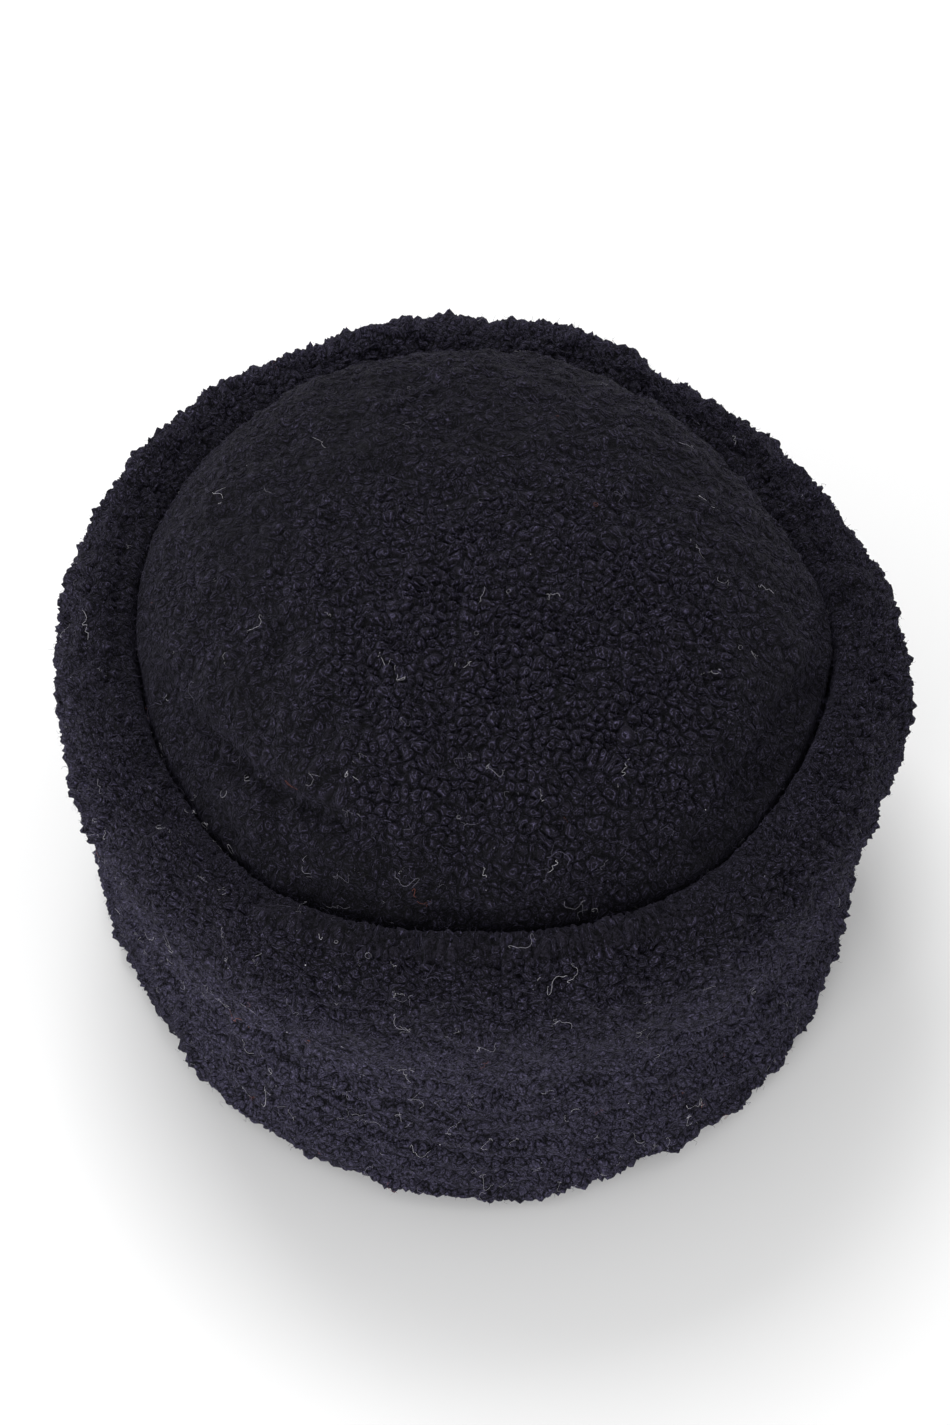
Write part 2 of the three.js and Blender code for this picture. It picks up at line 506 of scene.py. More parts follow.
def raise_wool(piece, tree_name, lay_curls, height):
    """Moves the woolly points out into curls, and keeps the curls' patterns for the material."""
    wall_share = 0.55  # of a curl's height that is left on the wall, where the wool is more felted
    least_fill = 0.7  # share of its half of the groove that wool fills between two curls
    lean_width = 2.4 * MM
    tree, start = start_tree(tree_name)
    position = add_node(tree, "GeometryNodeInputPosition")
    patterns, broad = lay_curls(tree, position.outputs[0])
    pile, _, _ = pile_of(tree, patterns)
    lower_on_wall = add_node(
        tree,
        "ShaderNodeMapRange",
        {"Value": kept(tree, "on_wall"), "To Min": 1.0, "To Max": wall_share},
    )
    relief = add_node(
        tree, "ShaderNodeMath", {0: pile, 1: lower_on_wall, 2: broad}, operation="MULTIPLY_ADD"
    )
    reach = add_node(tree, "ShaderNodeMath", {0: relief, 1: height}, operation="MULTIPLY")
    room = kept(tree, "half_room")
    share = add_node(
        tree, "ShaderNodeMapRange", {"Value": pile, "To Min": least_fill, "To Max": 1.0}
    )
    into_room = add_node(tree, "ShaderNodeMath", {0: room, 1: share}, operation="MULTIPLY")
    filled = add_node(
        tree, "ShaderNodeMix", {0: kept(tree, "deep"), 2: reach, 3: into_room}, data_type="FLOAT"
    )
    clear_of_other = add_node(tree, "ShaderNodeMath", {0: filled, 1: room}, operation="MINIMUM")
    wool = kept(tree, "wool")
    woolly = add_node(tree, "ShaderNodeMath", {0: clear_of_other, 1: wool}, operation="MULTIPLY")
    normal = add_node(tree, "GeometryNodeInputNormal")
    out = add_node(tree, "ShaderNodeVectorMath", {0: normal, "Scale": woolly}, operation="SCALE")
    lean = add_node(
        tree, "ShaderNodeTexNoise", {"Vector": position, "Scale": 1 / lean_width, "Detail": 1.0}
    )
    about = add_node(
        tree,
        "ShaderNodeVectorMath",
        {0: lean.outputs["Color"], 1: (0.5, 0.5, 0.5)},
        operation="SUBTRACT",
    )
    open_wool = add_node(
        tree, "ShaderNodeMapRange", {"Value": kept(tree, "deep"), "To Min": height, "To Max": 0.0}
    )
    sideways = add_node(tree, "ShaderNodeMath", {0: wool, 1: open_wool}, operation="MULTIPLY")
    leant = add_node(tree, "ShaderNodeVectorMath", {0: about, "Scale": sideways}, operation="SCALE")
    offset = add_node(tree, "ShaderNodeVectorMath", {0: out, 1: leant}, operation="ADD")
    geometry = start
    for name, value in patterns.items():
        geometry = add_node(
            tree,
            "GeometryNodeStoreNamedAttribute",
            {"Geometry": geometry, "Name": name, "Value": value},
            data_type=PATTERN_KINDS[name],
            domain="POINT",
        )
    moved = add_node(tree, "GeometryNodeSetPosition", {"Geometry": geometry, "Offset": offset})
    add_node(tree, "NodeGroupOutput", {0: moved})
    apply_modifier(piece, "NODES", node_group=tree)


def patchy(tree, position, low, high):
    """Curls are clear in some patches and felted flat in others."""
    patch_width = 20 * MM
    patch = add_node(
        tree, "ShaderNodeTexNoise", {"Vector": position, "Scale": 1 / patch_width, "Detail": 1.0}
    )
    clear = add_node(
        tree,
        "ShaderNodeMapRange",
        {"Value": patch, "From Min": 0.38, "From Max": 0.62, "To Min": low, "To Max": high},
    )
    return clear.outputs[0]


def crown_curls(tree, position):
    """Curls on the crown are round, and are clearest in the middle and in front."""
    width = bpy.context.scene.hat_sizes.crown_tuft
    swell_width = 11 * MM
    clearest_at = (0.1 * CROWN_RADIUS, -0.35 * CROWN_RADIUS, 0)
    parts = add_node(tree, "ShaderNodeSeparateXYZ", {0: position})
    drop = add_node(
        tree, "ShaderNodeMath", {0: CROWN_TOP, 1: parts.outputs[2]}, operation="SUBTRACT"
    )
    squared = add_node(tree, "ShaderNodeMath", {0: drop, 1: 2.0}, operation="POWER")
    # The curls crowd towards the steep edge, where they are this share narrower.
    narrower = 0.3
    crowding = narrower / (CROWN_TOP - GROOVE) ** 2 / width
    finer = add_node(
        tree, "ShaderNodeMath", {0: squared, 1: crowding, 2: 1 / width}, operation="MULTIPLY_ADD"
    )
    across = add_node(
        tree, "ShaderNodeVectorMath", {0: position, "Scale": finer}, operation="SCALE"
    )
    swell = add_node(
        tree, "ShaderNodeTexNoise", {"Vector": position, "Scale": 1 / swell_width, "Detail": 2.0}
    )
    broad = add_node(tree, "ShaderNodeMapRange", {"Value": swell, "To Min": -1.9, "To Max": 1.2})
    flat = add_node(tree, "ShaderNodeVectorMath", {0: position, 1: (1, 1, 0)}, operation="MULTIPLY")
    away = add_node(
        tree,
        "ShaderNodeVectorMath",
        {0: flat, 1: clearest_at},
        operation="DISTANCE",
    )
    middle = add_node(
        tree,
        "ShaderNodeMapRange",
        {
            "Value": away.outputs["Value"],
            "From Min": 0.35 * CROWN_RADIUS,
            "From Max": 0.75 * CROWN_RADIUS,
            "To Min": 1.05,
            "To Max": 0.42,
        },
    )
    clear = add_node(
        tree,
        "ShaderNodeMath",
        {0: middle, 1: patchy(tree, position, 0.75, 1.2)},
        operation="MULTIPLY",
    )
    patterns = {"short": wavered(tree, across.outputs[0]), "clear": clear.outputs[0]}
    return patterns, broad.outputs[0]


def cuff_curls(tree, position):
    """Curls on the cuff run round the hat: fine on the wall, rounder on the rim, long at its front."""
    sizes = bpy.context.scene.hat_sizes
    lock_rise = 1.5  # how much further out the long locks stand, as a share of a curl's height
    turned = add_node(
        tree,
        "ShaderNodeVectorRotate",
        {"Vector": position, "Angle": math.pi - JOIN_AZIMUTH},
        rotation_type="Z_AXIS",
    )
    parts = add_node(tree, "ShaderNodeSeparateXYZ", {0: turned})
    azimuth = add_node(
        tree, "ShaderNodeMath", {0: parts.outputs[1], 1: parts.outputs[0]}, operation="ARCTAN2"
    )
    flat = add_node(tree, "ShaderNodeVectorMath", {0: turned, 1: (1, 1, 0)}, operation="MULTIPLY")
    radius = add_node(tree, "ShaderNodeVectorMath", {0: flat}, operation="LENGTH")
    around = add_node(tree, "ShaderNodeMath", {0: azimuth, 1: CUFF_RADIUS}, operation="MULTIPLY")
    level = add_node(
        tree, "ShaderNodeMath", {0: parts.outputs[2], 1: RIM_FROM}, operation="SUBTRACT"
    )
    inwards = add_node(
        tree,
        "ShaderNodeMath",
        {0: CUFF_RADIUS, 1: radius.outputs["Value"]},
        operation="SUBTRACT",
    )
    size = add_node(
        tree,
        "ShaderNodeMapRange",
        {
            "Value": level,
            "From Min": -6 * MM,
            "From Max": 14 * MM,
            "To Min": sizes.wall_tuft,
            "To Max": sizes.cuff_tuft,
        },
    )
    upward = over_the_rim(tree, level, inwards)
    place = add_node(tree, "ShaderNodeCombineXYZ", {0: around, 1: upward})
    cell = add_node(tree, "ShaderNodeCombineXYZ", {0: sizes.cuff_tuft, 1: size, 2: 1.0})
    short = add_node(tree, "ShaderNodeVectorMath", {0: place, 1: cell}, operation="DIVIDE")
    long = add_node(
        tree,
        "ShaderNodeVectorMath",
        {0: place, 1: (1 / sizes.cuff_tuft, 1 / sizes.rim_lock, 1)},
        operation="MULTIPLY",
    )
    long_share = front_locks(tree, position, inwards)
    broad, rows = cuff_swell(tree, position, level, sizes.wall_row)
    raised = add_node(
        tree, "ShaderNodeMath", {0: long_share, 1: lock_rise, 2: broad}, operation="MULTIPLY_ADD"
    )
    patterns = {
        "short": wavered(tree, short.outputs[0]),
        "long": wavered(tree, long.outputs[0]),
        "long_share": long_share.outputs[0],
        "clear": add_node(
            tree,
            "ShaderNodeMath",
            {0: rows, 1: 0.45, 2: patchy(tree, position, 0.75, 1.2)},
            operation="MULTIPLY_ADD",
        ).outputs[0],
    }
    return patterns, raised.outputs[0]


def over_the_rim(tree, level, inwards):
    """How far up the wall a place is, counted on over the rim and down its inner side."""
    top_from, top_to = 7 * MM, 14 * MM  # the rim's flat top, counted inwards from the hat's side
    fold = add_node(
        tree,
        "ShaderNodeMapRange",
        {"Value": inwards, "From Min": top_from, "From Max": top_to, "To Min": 1.0, "To Max": -1.0},
    )
    below_top = add_node(
        tree, "ShaderNodeMath", {0: level, 1: CUFF_TOP - RIM_FROM}, operation="SUBTRACT"
    )
    upward = add_node(
        tree, "ShaderNodeMath", {0: below_top, 1: fold, 2: inwards}, operation="MULTIPLY_ADD"
    )
    return upward.outputs[0]


def front_locks(tree, position, inwards):
    """Where the locks are long: on the inner half of the rim, at its front."""
    front_from, front_to = -84 * MM, -97 * MM
    top_from, top_to = 4 * MM, 11 * MM
    parts = add_node(tree, "ShaderNodeSeparateXYZ", {0: position})
    at_front = add_node(
        tree,
        "ShaderNodeMapRange",
        {"Value": parts.outputs[1], "From Min": front_from, "From Max": front_to},
        interpolation_type="SMOOTHSTEP",
    )
    on_top = add_node(
        tree,
        "ShaderNodeMapRange",
        {"Value": inwards, "From Min": top_from, "From Max": top_to},
        interpolation_type="SMOOTHSTEP",
    )
    return add_node(tree, "ShaderNodeMath", {0: at_front, 1: on_top}, operation="MULTIPLY")


def cuff_swell(tree, position, level, row):
    """Soft rows run round the wall below the rim, among broader swells in the skin."""
    swell_width = 14 * MM
    drift_width, drift_reach = 30 * MM, 22 * MM  # how broadly and how far the rows wander up and down
    rows_from = -14 * MM  # level, from the rim's foot, below which the rows are full
    swell = add_node(
        tree,
        "ShaderNodeTexNoise",
        {"Vector": position, "Scale": 1 / swell_width, "Detail": 2.0, "Roughness": 0.8},
    )
    broad = add_node(tree, "ShaderNodeMapRange", {"Value": swell, "To Min": -2.6, "To Max": 2.0})
    drift = add_node(
        tree, "ShaderNodeTexNoise", {"Vector": position, "Scale": 1 / drift_width, "Detail": 1.0}
    )
    bent = add_node(
        tree, "ShaderNodeMath", {0: drift, 1: drift_reach, 2: level}, operation="MULTIPLY_ADD"
    )
    turn = add_node(tree, "ShaderNodeMath", {0: bent, 1: 2 * math.pi / row}, operation="MULTIPLY")
    wave = add_node(tree, "ShaderNodeMath", {0: turn}, operation="SINE")
    fade = add_node(
        tree, "ShaderNodeMapRange", {"Value": level, "From Max": rows_from, "To Max": 0.5}
    )
    rows = add_node(tree, "ShaderNodeMath", {0: wave, 1: fade}, operation="MULTIPLY")
    relief = add_node(tree, "ShaderNodeMath", {0: rows, 1: broad}, operation="ADD")
    return relief.outputs[0], rows.outputs[0]


def split_at(piece, upper_name, level):
    """Parts a piece in two at a level, both closed, and returns the upper part."""
    upper = copy_of(piece, upper_name)
    for part, keep_upper in ((piece, False), (upper, True)):
        pick(part)
        bpy.ops.object.mode_set(mode="EDIT")
        bpy.ops.mesh.select_all(action="SELECT")
        bpy.ops.mesh.bisect(
            plane_co=(0, 0, level),
            plane_no=(0, 0, 1),
            use_fill=True,
            clear_inner=keep_upper,
            clear_outer=not keep_upper,
        )
        bpy.ops.object.mode_set(mode="OBJECT")
    return upper


def dress_fleece(piece, wool_material, skin_material):
    """Gives the woolly faces one material and the bare ones the other."""
    mesh = piece.data
    mesh.materials.clear()
    mesh.materials.append(wool_material)
    mesh.materials.append(skin_material)
    wool = np.empty(len(mesh.vertices), np.float32)
    mesh.attributes["wool"].data.foreach_get("value", wool)
    for face in mesh.polygons:
        face.material_index = 0 if wool[face.vertices[0]] > 0.02 else 1
    pick(piece)
    bpy.ops.object.shade_smooth_by_angle(angle=math.radians(80))


# Loose wool: wisps and stray hairs, each a thin closed tube, scattered over a fleece


def tube(tree, curve, thickness, tip):
    """A three-sided tube along a curve, thinner towards its end, as an instance."""
    along = add_node(tree, "GeometryNodeSplineParameter")
    taper = add_node(tree, "ShaderNodeMapRange", {"Value": along, "To Min": 1.0, "To Max": tip})
    section = add_node(
        tree, "GeometryNodeCurvePrimitiveCircle", {"Resolution": 3, "Radius": thickness / 2}
    )
    skin = add_node(
        tree,
        "GeometryNodeCurveToMesh",
        {
            "Curve": curve,
            "Profile Curve": section.outputs["Curve"],
            "Scale": taper,
            "Fill Caps": True,
        },
    )
    smooth = add_node(tree, "GeometryNodeSetShadeSmooth", {"Geometry": skin})
    return add_node(tree, "GeometryNodeGeometryToInstance", {"Geometry": smooth})


def wisp(tree, length, turns, thickness, points):
    """A curled wisp that rises from its root at the origin."""
    width = 0.34 * length
    spiral = add_node(
        tree,
        "GeometryNodeCurveSpiral",
        {
            "Resolution": math.ceil(points / turns),
            "Rotations": turns,
            "Start Radius": width,
            "End Radius": 0.6 * width,
            "Height": 0.55 * length,
        },
    )
    rooted = add_node(
        tree, "GeometryNodeTransform", {"Geometry": spiral, "Translation": (-width, 0, 0)}
    )
    return tube(tree, rooted, thickness, 0.25)


def stray(tree, length, thickness, kind):
    """A long wavy hair that lies along the wool."""
    wave_width = 1.9 * MM
    line = add_node(
        tree,
        "GeometryNodeCurvePrimitiveLine",
        {"Start": (-length / 2, 0, 0), "End": (length / 2, 0, 0)},
    )
    points = add_node(tree, "GeometryNodeResampleCurve", {"Curve": line, "Count": 24})
    place = add_node(tree, "GeometryNodeInputPosition")
    wave = add_node(
        tree,
        "ShaderNodeTexNoise",
        {"Vector": place, "W": 7.3 * kind, "Scale": 1 / wave_width, "Detail": 1.0},
        noise_dimensions="4D",
    )
    about = add_node(
        tree,
        "ShaderNodeVectorMath",
        {0: wave.outputs["Color"], 1: (0.5, 0.5, 0.36)},
        operation="SUBTRACT",
    )
    sway = add_node(
        tree,
        "ShaderNodeVectorMath",
        {0: about, 1: (1.4 * length, 1.8 * length, 0.4 * length)},
        operation="MULTIPLY",
    )
    wavy = add_node(tree, "GeometryNodeSetPosition", {"Geometry": points, "Offset": sway})
    return tube(tree, wavy, thickness, 0.5)


def speck(tree):
    """A crumb of lint, just above the wool."""
    radius = 0.16 * MM
    above = 0.3 * MM
    crumb = add_node(tree, "GeometryNodeMeshIcoSphere", {"Radius": radius, "Subdivisions": 1})
    raised = add_node(
        tree, "GeometryNodeTransform", {"Geometry": crumb, "Translation": (0, 0, above)}
    )
    return add_node(tree, "GeometryNodeGeometryToInstance", {"Geometry": raised})


def scatter(fleece, name, make_kinds, per_m2, where, tilt, sizes, seed):
    """A piece of loose strands, rooted at random in a fleece's wool and clear of the floor.

    Tilt is the least and most lean of a strand in radians, and sizes the least and most of its scale.
    """
    piece = copy_of(fleece, name)
    tree, start = start_tree(name)
    wool = add_node(tree, "GeometryNodeInputNamedAttribute", {"Name": "wool"}, data_type="FLOAT")
    position = add_node(tree, "GeometryNodeInputPosition")
    parts = add_node(tree, "ShaderNodeSeparateXYZ", {0: position})
    clear = add_node(
        tree,
        "ShaderNodeMapRange",
        {"Value": parts.outputs[2], "From Min": HEM, "From Max": HEM + 2 * MM},
    )
    woolly = add_node(tree, "ShaderNodeMath", {0: wool, 1: clear}, operation="MULTIPLY")
    wanted = where(tree, position.outputs[0])
    placed = add_node(tree, "ShaderNodeMath", {0: woolly, 1: wanted}, operation="MULTIPLY")
    density = add_node(tree, "ShaderNodeMath", {0: placed, 1: per_m2}, operation="MULTIPLY")
    roots = add_node(
        tree,
        "GeometryNodeDistributePointsOnFaces",
        {"Mesh": start, "Density": density, "Seed": seed},
    )
    kinds = add_node(tree, "GeometryNodeJoinGeometry")
    for kind in make_kinds(tree):
        tree.links.new(kind.outputs[0], kinds.inputs[0])
    size = add_node(
        tree,
        "FunctionNodeRandomValue",
        {2: sizes[0], 3: sizes[1], "Seed": seed + 1},
        data_type="FLOAT",
    )
    turn = add_node(
        tree,
        "FunctionNodeRandomValue",
        {0: (tilt[0], 0, 0), 1: (tilt[1], 0, 2 * math.pi), "Seed": seed + 2},
        data_type="FLOAT_VECTOR",
    )
    strands = add_node(
        tree,
        "GeometryNodeInstanceOnPoints",
        {
            "Points": roots,
            "Instance": kinds,
            "Pick Instance": True,
            "Rotation": roots.outputs["Rotation"],
            "Scale": size.outputs[1],
        },
    )
    tilted = add_node(
        tree,
        "GeometryNodeRotateInstances",
        {"Instances": strands, "Rotation": turn, "Local Space": True},
    )
    chance = add_node(tree, "FunctionNodeRandomValue", {"Seed": seed + 3}, data_type="FLOAT")
    marked = add_node(
        tree,
        "GeometryNodeStoreNamedAttribute",
        {"Geometry": tilted, "Name": "chance", "Value": chance.outputs[1]},
        data_type="FLOAT",
        domain="INSTANCE",
    )
    real = add_node(tree, "GeometryNodeRealizeInstances", {"Geometry": marked})
    add_node(tree, "NodeGroupOutput", {0: real})
    apply_modifier(piece, "NODES", node_group=tree)
    piece.data.materials.clear()
    return piece


def denser_in_groove(tree, position):
    """Wisps grow all over the wool, and more of them reach across the groove."""
    return add_node(
        tree, "ShaderNodeMapRange", {"Value": kept(tree, "shade"), "To Min": 1.0, "To Max": 1.8}
    ).outputs[0]


def mostly_in_front(tree, position):
    """Strays lie everywhere, and more of them low down on the left front."""
    up_and_back = (0.7, 1.0, 0.8)
    away = add_node(
        tree, "ShaderNodeVectorMath", {0: position, 1: up_and_back}, operation="DOT_PRODUCT"
    )
    share = add_node(
        tree,
        "ShaderNodeMapRange",
        {
            "Value": away.outputs["Value"],
            "From Min": 1.3 * CUFF_RADIUS,
            "From Max": -0.9 * CUFF_RADIUS,
        },
    )
    more = add_node(tree, "ShaderNodeMath", {0: share, 1: 2.0}, operation="POWER")
    denser = add_node(tree, "ShaderNodeMath", {0: more, 1: 1.4, 2: 0.15}, operation="MULTIPLY_ADD")
    return denser.outputs[0]


def wisp_kinds(tree):
    """Three wisps, curled more and less."""
    length = bpy.context.scene.hat_sizes.wisp_length
    return [
        wisp(tree, length, 0.5, 0.18 * MM, 3),
        wisp(tree, 1.2 * length, 0.75, 0.14 * MM, 3),
        wisp(tree, 0.9 * length, 1.0, 0.16 * MM, 3),
    ]


def stray_kinds(tree):
    """Hairs, each waved another way, two of them in loops, and a crumb of lint."""
    length = bpy.context.scene.hat_sizes.stray_length
    thickness = bpy.context.scene.hat_sizes.hair_thickness
    waved = [stray(tree, length, thickness, kind) for kind in range(6)]
    looped = [wisp(tree, 0.45 * length, turns, thickness, 16) for turns in (1.2, 1.7)]
    return [*waved, *looped, speck(tree)]


# Materials


def blank_material(name):
    """A material with an empty node tree."""
    material = bpy.data.materials.new(name)
    material.use_nodes = True
    material.node_tree.nodes.clear()
    return material


def sheared_wool(name, long_locks=False):
    """Dyed sheared sheep's wool: matt curls of fine fibres, with painted shade between them and in the
    groove and creases, painted light on the wall, and lighter where they turn.
    """
    crimp_width = 0.7 * MM
    fibre_depth = 0.6 * MM
    colours = bpy.context.scene.hat_colours
    material = blank_material(name)
    tree = material.node_tree
    where = add_node(tree, "ShaderNodeTexCoord")
    patterns = {}
    for pattern in PATTERN_KINDS if long_locks else ("short", "clear"):
        attribute = add_node(tree, "ShaderNodeAttribute", attribute_name=pattern)
        is_number = PATTERN_KINDS[pattern] == "FLOAT"
        patterns[pattern] = attribute.outputs["Fac" if is_number else "Vector"]
    pile, off_middle, twist = pile_of(tree, patterns)
    crimp = add_node(
        tree,
        "ShaderNodeTexNoise",
        {
            "Vector": where.outputs["Object"],
            "Scale": 1 / crimp_width,
            "Detail": 2.0,
            "Roughness": 0.7,
            "Distortion": 0.8,
        },
    )
    fibres = coiled_fibres(tree, off_middle, twist, crimp)
    if long_locks:
        fibres = straight_fibres(tree, patterns, fibres)
    rough = add_node(tree, "ShaderNodeMath", {0: crimp, 1: 0.9, 2: pile}, operation="MULTIPLY_ADD")
    height = add_node(
        tree,
        "ShaderNodeMapRange",
        {"Value": rough, "From Min": 0.35, "From Max": 1.1},
        interpolation_type="SMOOTHSTEP",
    )
    # Painted shade: the wool darkens in the groove and in the creases.
    shaded = add_node(tree, "ShaderNodeAttribute", attribute_name="shade")
    in_light = add_node(
        tree, "ShaderNodeMapRange", {"Value": shaded.outputs["Fac"], "To Min": 1.0, "To Max": 0.75}
    )
    lit = add_node(tree, "ShaderNodeMath", {0: height, 1: in_light}, operation="MULTIPLY")
    # Painted light: lighter wool on the wall and at the back of the rim.
    painted_light = add_node(tree, "ShaderNodeAttribute", attribute_name="painted_light")
    wool = add_node(
        tree,
        "ShaderNodeMix",
        {0: painted_light.outputs["Fac"], 6: tuple(colours.wool), 7: tuple(colours.wool_painted_light)},
        data_type="RGBA",
    )
    # Painted shade: wool that stands low, between the curls and in the groove, takes the dark colour.
    tone = add_node(
        tree,
        "ShaderNodeMix",
        {0: lit, 6: tuple(colours.wool_shade_and_dark_fibre), 7: wool.outputs[2]},
        data_type="RGBA",
    )
    # Fibre ends lighten only the tops of the curls, outside the painted shade: partly faded fibres,
    # partly a painted highlight.
    worn = add_node(
        tree,
        "ShaderNodeMapRange",
        {"Value": fibres, "From Min": 0.6, "From Max": 1.0, "To Max": 0.55},
    )
    worn_and_highlight = add_node(tree, "ShaderNodeMath", {0: worn, 1: lit}, operation="MULTIPLY")
    tipped = add_node(
        tree,
        "ShaderNodeMix",
        {0: worn_and_highlight, 6: tone.outputs[2], 7: tuple(colours.wool_tip_and_highlight)},
        data_type="RGBA",
    )
    shade = add_node(
        tree,
        "ShaderNodeMapRange",
        {"Value": crimp, "From Min": 0.36, "From Max": 0.64, "To Min": 0.1, "To Max": 2.1},
    )
    grain = add_node(
        tree, "ShaderNodeMix", {0: patterns["clear"], 2: 1.0, 3: shade}, data_type="FLOAT"
    )
    colour = add_node(
        tree, "ShaderNodeVectorMath", {0: tipped.outputs[2], "Scale": grain}, operation="SCALE"
    )
    fuzz = add_node(
        tree, "ShaderNodeMath", {0: fibres, 1: 0.16, 2: crimp}, operation="MULTIPLY_ADD"
    )
    relief = add_node(tree, "ShaderNodeMath", {0: pile, 1: 0.5, 2: fuzz}, operation="MULTIPLY_ADD")
    bump = add_node(
        tree, "ShaderNodeBump", {"Strength": 1.0, "Distance": fibre_depth, "Height": relief}
    )
    shader = add_node(
        tree,
        "ShaderNodeBsdfPrincipled",
        {
            "Base Color": colour,
            "Roughness": 0.8,
            "IOR": 1.45,
            "Specular IOR Level": 0.1,
            "Normal": bump,
            "Sheen Weight": 0.15,
            "Sheen Roughness": 0.4,
            "Sheen Tint": tuple(colours.wool_sheen),
        },
    )
    add_node(tree, "ShaderNodeOutputMaterial", {0: shader})
    return material


def coiled_fibres(tree, off_middle, twist, crimp):
    """Fibres that coil round the middle of each curl, 1 on a fibre and -1 between two."""
    coils, crimping = 20.0, 9.0  # radians for each cell's width, and as far as the crimp bends them
    coil = add_node(
        tree, "ShaderNodeMath", {0: off_middle, 1: coils, 2: crimp}, operation="MULTIPLY_ADD"
    )
    bent = add_node(
        tree, "ShaderNodeMath", {0: crimp, 1: crimping, 2: coil}, operation="MULTIPLY_ADD"
    )
    turned = add_node(tree, "ShaderNodeMath", {0: twist, 1: 6.3, 2: bent}, operation="MULTIPLY_ADD")
    fibres = add_node(tree, "ShaderNodeMath", {0: turned}, operation="SINE")
    return fibres.outputs[0]


def straight_fibres(tree, patterns, coiled):
    """Fibres that run along the long locks, and are coiled elsewhere."""
    in_lock = add_node(
        tree, "ShaderNodeVectorMath", {0: patterns["long"], 1: (5, 1.5, 0)}, operation="MULTIPLY"
    )
    streaks = add_node(
        tree, "ShaderNodeTexNoise", {"Vector": in_lock, "Scale": 1.0, "Detail": 1.0}
    )
    straight = add_node(
        tree,
        "ShaderNodeMapRange",
        {"Value": streaks, "From Min": 0.35, "From Max": 0.65, "To Min": -1.0, "To Max": 1.0},
    )
    mixed = add_node(
        tree,
        "ShaderNodeMix",
        {0: patterns["long_share"], 2: coiled, 3: straight},
        data_type="FLOAT",
    )
    return mixed.outputs[0]


def strand_material(name, dull, bright, odd, odd_share):
    """Single fibres of wool or hair: slightly glossy, each of its own shade, a few of another."""
    material = blank_material(name)
    tree = material.node_tree
    chance = add_node(tree, "ShaderNodeAttribute", attribute_name="chance")
    tone = add_node(
        tree,
        "ShaderNodeMix",
        {0: chance.outputs["Fac"], 6: dull, 7: bright},
        data_type="RGBA",
    )
    is_odd = add_node(
        tree,
        "ShaderNodeMath",
        {0: chance.outputs["Fac"], 1: 1 - odd_share},
        operation="GREATER_THAN",
    )
    colour = add_node(
        tree, "ShaderNodeMix", {0: is_odd, 6: tone.outputs[2], 7: odd}, data_type="RGBA"
    )
    shader = add_node(
        tree,
        "ShaderNodeBsdfPrincipled",
        {
            "Base Color": colour.outputs[2],
            "Roughness": 0.6,
            "IOR": 1.55,
            "Specular IOR Level": 0.3,
        },
    )
    add_node(tree, "ShaderNodeOutputMaterial", {0: shader})
    return material


def dyed_fibre():
    """Loose fibres of the dyed wool, from black to faded."""
    colours = bpy.context.scene.hat_colours
    name = "dyed wool fibre"
    return bpy.data.materials.get(name) or strand_material(
        name, tuple(colours.wool), tuple(colours.wool_tip_and_highlight), tuple(colours.wool_shade_and_dark_fibre), 0.1
    )


def kemp_hair():
    """Coarse hairs that took no dye, from grey to white, and a few reddish ones."""
    colours = bpy.context.scene.hat_colours
    name = "undyed kemp hair"
    return bpy.data.materials.get(name) or strand_material(
        name, tuple(colours.wool_tip_and_highlight), tuple(colours.stray), tuple(colours.stray_red), 0.04
    )


def suede(name):
    """The bare side of the skin: brushed leather, matt, with a fine nap."""
    nap_width = 0.9 * MM
    nap_depth = 0.2 * MM
    cloud_width = 28 * MM
    material = blank_material(name)
    tree = material.node_tree
    where = add_node(tree, "ShaderNodeTexCoord")
    nap = add_node(
        tree,
        "ShaderNodeTexNoise",
        {"Vector": where.outputs["Object"], "Scale": 1 / nap_width, "Detail": 4.0},
    )
    cloud = add_node(
        tree,
        "ShaderNodeTexNoise",
        {"Vector": where.outputs["Object"], "Scale": 1 / cloud_width, "Detail": 3.0},
    )
    shade = add_node(
        tree,
        "ShaderNodeMapRange",
        {"Value": cloud, "From Min": 0.3, "From Max": 0.7, "To Min": 0.7, "To Max": 1.25},
    )
    colour = add_node(
        tree,
        "ShaderNodeVectorMath",
        {0: bpy.context.scene.hat_colours.skin[:3], "Scale": shade},
        operation="SCALE",
    )
    bump = add_node(
        tree, "ShaderNodeBump", {"Strength": 0.4, "Distance": nap_depth, "Height": nap}
    )
    shader = add_node(
        tree,
        "ShaderNodeBsdfPrincipled",
        {
            "Base Color": colour,
            "Roughness": 0.9,
            "Specular IOR Level": 0.3,
            "Normal": bump,
            "Sheen Weight": 0.15,
        },
    )
    add_node(tree, "ShaderNodeOutputMaterial", {0: shader})
    return material


# Operators


def stand_on_floor(piece):
    """Lifts any point that dips below the floor back up to it."""
    places = places_of(piece)
    places[:, 2] = np.maximum(places[:, 2], 0)
    piece.data.vertices.foreach_set("co", places.ravel())
    piece.data.update()


def finish_piece(piece, node=None):
    """Stands a piece on the floor and ties it to the frame."""
    stand_on_floor(piece)
    if node:
        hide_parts(node)
    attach(piece, "root")


def add_loose_wool(fleece, names, seed):
    """Adds wisps and stray hairs to a fleece."""
    wisps_name, strays_name = names
    wisps = scatter(
        fleece,
        wisps_name,
        wisp_kinds,
        WISPS_PER_M2,
        denser_in_groove,
        tilt=(0.3, 1.3),
        sizes=(0.6, 1.15),
        seed=seed,
    )
    wisps.data.materials.append(dyed_fibre())
    finish_piece(wisps)
    strays = scatter(
        fleece,
        strays_name,
        stray_kinds,
        STRAYS_PER_M2,
        mostly_in_front,
        tilt=(-0.15, 0.15),
        sizes=(0.25, 1.2),
        seed=seed + 10,
    )
    strays.data.materials.append(kemp_hair())
    finish_piece(strays)


